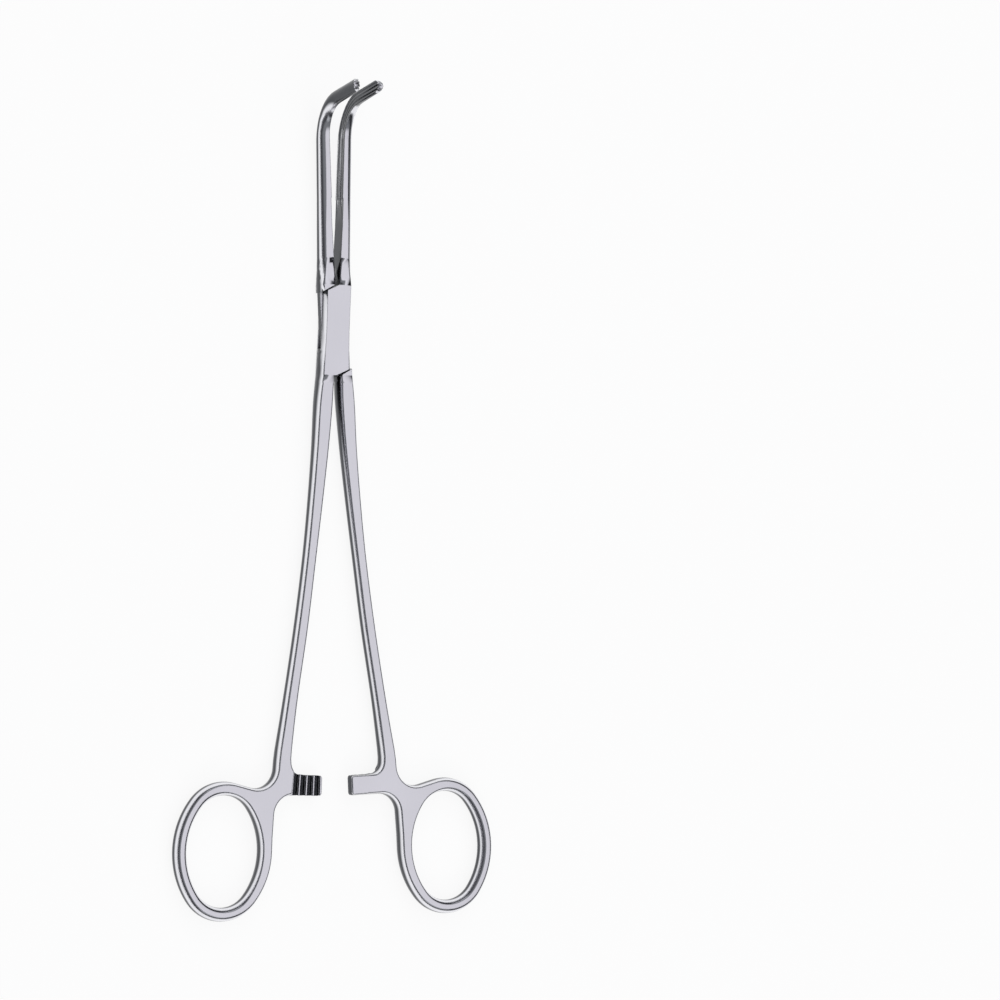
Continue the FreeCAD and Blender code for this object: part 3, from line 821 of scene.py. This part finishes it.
def steel(name, finish):
    """Stainless steel: ground faces, polished sides in bands of painted reflection, painted shade in
    crevices, worn edges.
    """
    material = bpy.data.materials.new(name)
    material.use_nodes = True
    tree = material.node_tree
    shader = tree.nodes["Principled BSDF"]
    shader.inputs["Metallic"].default_value = 1.0
    place = tree.nodes.new("ShaderNodeTexCoord")
    own = tree.nodes.new("ShaderNodeNewGeometry")
    pin = placed_group(tree, pin_group(), Radius=PIN_FACE_RADIUS)
    tree.links.new(place.outputs["Object"], pin.inputs["Vector"])
    bare = maths(tree, "SUBTRACT", 1.0, pin.outputs["Pin"])
    worn = placed_group(tree, edge_group(), Radius=finish.worn_radius)
    rounded = mixed(tree, "VECTOR", bare, own.outputs["Normal"], worn.outputs["Normal"])
    # Painted reflections: side, shoulder and edge tones laid on by the slope of the normal
    tones = (finish.painted_side_reflection, finish.painted_shoulder_highlight, finish.painted_edge_reflection, finish.ground_colour)
    bands = placed_group(tree, reflection_bands_group())
    for name, tone in zip(("Side", "Shoulder", "Edge", "Face"), tones):
        bands.inputs[name].default_value = tuple(tone) + (1.0,)
    tree.links.new(rounded, bands.inputs["Normal"])
    grinding = placed_group(tree, grinding_group(), Lines_per_metre=1.0 / finish.grain_width)
    tree.links.new(place.outputs["Object"], grinding.inputs["Vector"])
    room = placed_group(tree, openness_group(), Reach=CREVICE_REACH)
    ground = bands.outputs["Ground"]
    seen = room.outputs["Open"]
    # Painted shade: crevice colour where ambient occlusion finds little open room
    colour = mixed(tree, "RGBA", seen, finish.crevice_shade_colour, bands.outputs["Color"])
    edges = maths(tree, "MULTIPLY", worn.outputs["Edges"], bare)
    clouds = maths(tree, "MULTIPLY_ADD", grinding.outputs["Clouds"], *CLOUD_TINT)
    streaks = maths(tree, "MULTIPLY_ADD", grinding.outputs["Lines"], *GRAIN_TINT)
    level = maths(tree, "ADD", clouds, streaks)
    tint = tree.nodes.new("ShaderNodeVectorMath")
    tint.operation = "SCALE"
    tree.links.new(colour, tint.inputs[0])
    tree.links.new(level, tint.inputs["Scale"])
    tree.links.new(tint.outputs[0], shader.inputs["Base Color"])
    spread = finish.ground_roughness - finish.polished_roughness
    rough = maths(tree, "MULTIPLY_ADD", ground, spread, finish.polished_roughness)
    uneven = maths(tree, "MULTIPLY_ADD", grinding.outputs["Lines"], *GRAIN_ROUGHNESS)
    rough = maths(tree, "ADD", rough, uneven)
    rough = maths(tree, "MULTIPLY_ADD", edges, WORN_POLISH, rough, clamp=True)
    tree.links.new(rough, shader.inputs["Roughness"])
    bump = tree.nodes.new("ShaderNodeBump")
    bump.inputs["Strength"].default_value = GRAIN_BUMP
    bump.inputs["Distance"].default_value = finish.grain_depth
    height = maths(tree, "MULTIPLY", grinding.outputs["Lines"], ground)
    tree.links.new(height, bump.inputs["Height"])
    tree.links.new(rounded, bump.inputs["Normal"])
    tree.links.new(bump.outputs["Normal"], shader.inputs["Normal"])
    return material


def forceps_steel(context):
    """The one steel of the instrument, made on first use."""
    name = "forceps_steel"
    return bpy.data.materials.get(name) or steel(name, context.scene.forceps_finish)


# Stage

def place_camera(settings):
    """Camera at the photograph's angle: turned left, tipped to the rings, slightly rolled."""
    turn = settings.turn
    tip = settings.tip
    back = Vector((-math.sin(turn) * math.cos(tip), -math.sin(tip), math.cos(turn) * math.cos(tip)))
    right = Vector((math.cos(turn), 0.0, math.sin(turn)))
    up = back.cross(right)
    axes = Matrix((right, up, back)).transposed().to_4x4()
    data = bpy.data.cameras.new("camera")
    data.sensor_width = SENSOR_WIDTH
    data.lens = data.sensor_width * settings.distance / settings.view_width
    data.shift_x = settings.shift[0]
    data.shift_y = settings.shift[1]
    data.clip_start = NEAREST_SEEN
    camera = bpy.data.objects.new("camera", data)
    place = Matrix.Translation(Vector(settings.target) + back * settings.distance)
    camera.matrix_world = place @ axes @ Matrix.Rotation(settings.roll, 4, "Z")
    bpy.context.scene.collection.objects.link(camera)
    bpy.context.scene.camera = camera


def place_floor(settings):
    """White floor that glows to the camera and still takes the shadow."""
    form = bmesh.new()
    drop = Matrix.Translation((0.0, 0.0, -FLOOR_DROP))
    bmesh.ops.create_grid(form, x_segments=1, y_segments=1, size=FLOOR_HALF, matrix=drop)
    floor = as_object(form, "floor")
    material = bpy.data.materials.new("white_floor")
    material.use_nodes = True
    tree = material.node_tree
    shader = tree.nodes["Principled BSDF"]
    shader.inputs["Base Color"].default_value = tuple(settings.floor_colour) + (1.0,)
    shader.inputs["Roughness"].default_value = FLOOR_ROUGHNESS
    shader.inputs["Specular IOR Level"].default_value = 0.0
    glow = tree.nodes.new("ShaderNodeEmission")
    paths = tree.nodes.new("ShaderNodeLightPath")
    seen = maths(tree, "MAXIMUM", paths.outputs["Is Camera Ray"], paths.outputs["Is Glossy Ray"])
    seen = maths(tree, "MAXIMUM", seen, paths.outputs["Is Transmission Ray"])
    share = maths(tree, "MULTIPLY", seen, FLOOR_GLOW)
    mix = tree.nodes.new("ShaderNodeMixShader")
    tree.links.new(share, mix.inputs[0])
    tree.links.new(shader.outputs[0], mix.inputs[1])
    tree.links.new(glow.outputs[0], mix.inputs[2])
    tree.links.new(mix.outputs[0], tree.nodes["Material Output"].inputs["Surface"])
    floor.data.materials.append(material)


def place_lamp(name, place):
    """Wide soft lamp aimed at the instrument."""
    wide, high = LAMP_SIZE
    data = bpy.data.lights.new(name, "AREA")
    data.shape = "RECTANGLE"
    data.size = wide
    data.size_y = high
    data.energy = LAMP_LEVEL * wide * high * math.pi
    lamp = bpy.data.objects.new(name, data)
    lamp.location = place
    lamp.rotation_euler = (Vector(LAMP_AIM) - Vector(place)).to_track_quat("-Z", "Y").to_euler()
    bpy.context.scene.collection.objects.link(lamp)


def light_world():
    """Pale studio: bright overhead, dark towards the horizon."""
    world = bpy.data.worlds.new("studio")
    bpy.context.scene.world = world
    world.use_nodes = True
    tree = world.node_tree
    background = tree.nodes["Background"]
    place = tree.nodes.new("ShaderNodeTexCoord")
    split = tree.nodes.new("ShaderNodeSeparateXYZ")
    tree.links.new(place.outputs["Generated"], split.inputs[0])
    height = smooth_step(tree, split.outputs["Z"], *SKY_HEIGHTS)
    colour = mixed(tree, "RGBA", height, HORIZON_COLOUR, SKY_COLOUR)
    tree.links.new(colour, background.inputs["Color"])


# Operators

class FORCEPS_OT_box_half(bpy.types.Operator):
    """Makes the half with the box, the left handle and the right jaw"""

    bl_idname = "forceps.box_half"
    bl_label = "Box half"

    def execute(self, context):
        shape = context.scene.forceps_shape
        node = frame["nodes"]["box_half"]
        piece = forging(node, cut_rack(shape), shape, -HALF_OPENING, True)
        piece.data.materials.append(forceps_steel(context))
        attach(piece, "box_side")
        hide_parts("box_half")
        return {"FINISHED"}


class FORCEPS_OT_tongue_half(bpy.types.Operator):
    """Makes the half with the tongue, the right handle and the left jaw"""

    bl_idname = "forceps.tongue_half"
    bl_label = "Tongue half"

    def execute(self, context):
        shape = context.scene.forceps_shape
        node = frame["nodes"]["tongue_half"]
        piece = forging(node, cut_rack(shape), shape, HALF_OPENING, False)
        piece.data.materials.append(forceps_steel(context))
        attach(piece, "tongue_side")
        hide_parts("tongue_half")
        return {"FINISHED"}


class FORCEPS_OT_lock_pin(bpy.types.Operator):
    """Finishes the pivot pin"""

    bl_idname = "forceps.lock_pin"
    bl_label = "Lock pin"

    def execute(self, context):
        node = frame["nodes"]["lock_pin"]
        material = forceps_steel(context)
        if not node.data.materials:
            node.data.materials.append(material)
        for slot in node.material_slots:
            slot.material = material
        return {"FINISHED"}


class FORCEPS_OT_stage(bpy.types.Operator):
    """Sets the camera, the floor and the lamps"""

    bl_idname = "forceps.stage"
    bl_label = "Stage"

    def execute(self, context):
        settings = context.scene.forceps_stage
        place_camera(settings)
        place_floor(settings)
        light_world()
        for name, place in LAMPS.items():
            place_lamp(name, place)
        context.scene.view_settings.view_transform = "Standard"
        return {"FINISHED"}


class VIEW3D_PT_forceps(bpy.types.Panel):
    """Buttons and settings of the forceps"""

    bl_idname = "VIEW3D_PT_forceps"
    bl_label = "Forceps"
    bl_space_type = "VIEW_3D"
    bl_region_type = "UI"
    bl_category = "Forceps"

    def draw(self, context):
        layout = self.layout
        for operator in OPERATORS:
            layout.operator(operator.bl_idname)
        for name, group in SETTINGS:
            settings = getattr(context.scene, name)
            for label in group.__annotations__:
                layout.prop(settings, label)


OPERATORS = (FORCEPS_OT_box_half, FORCEPS_OT_tongue_half, FORCEPS_OT_lock_pin, FORCEPS_OT_stage)
SETTINGS = (
    ("forceps_shape", ForcepsShape),
    ("forceps_finish", ForcepsFinish),
    ("forceps_stage", ForcepsStage),
)


def register():
    """Adds the settings, the operators and the panel."""
    for name, group in SETTINGS:
        bpy.utils.register_class(group)
        setattr(bpy.types.Scene, name, bpy.props.PointerProperty(type=group))
    for item in OPERATORS + (VIEW3D_PT_forceps,):
        bpy.utils.register_class(item)


def unregister():
    """Takes the panel, the operators and the settings out again."""
    for item in reversed(OPERATORS + (VIEW3D_PT_forceps,)):
        bpy.utils.unregister_class(item)
    for name, group in reversed(SETTINGS):
        delattr(bpy.types.Scene, name)
        bpy.utils.unregister_class(group)


def main():
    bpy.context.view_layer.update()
    register()
    for operator in OPERATORS:
        group, name = operator.bl_idname.split(".")
        getattr(getattr(bpy.ops, group), name)()


if __name__ == "__main__":
    main()
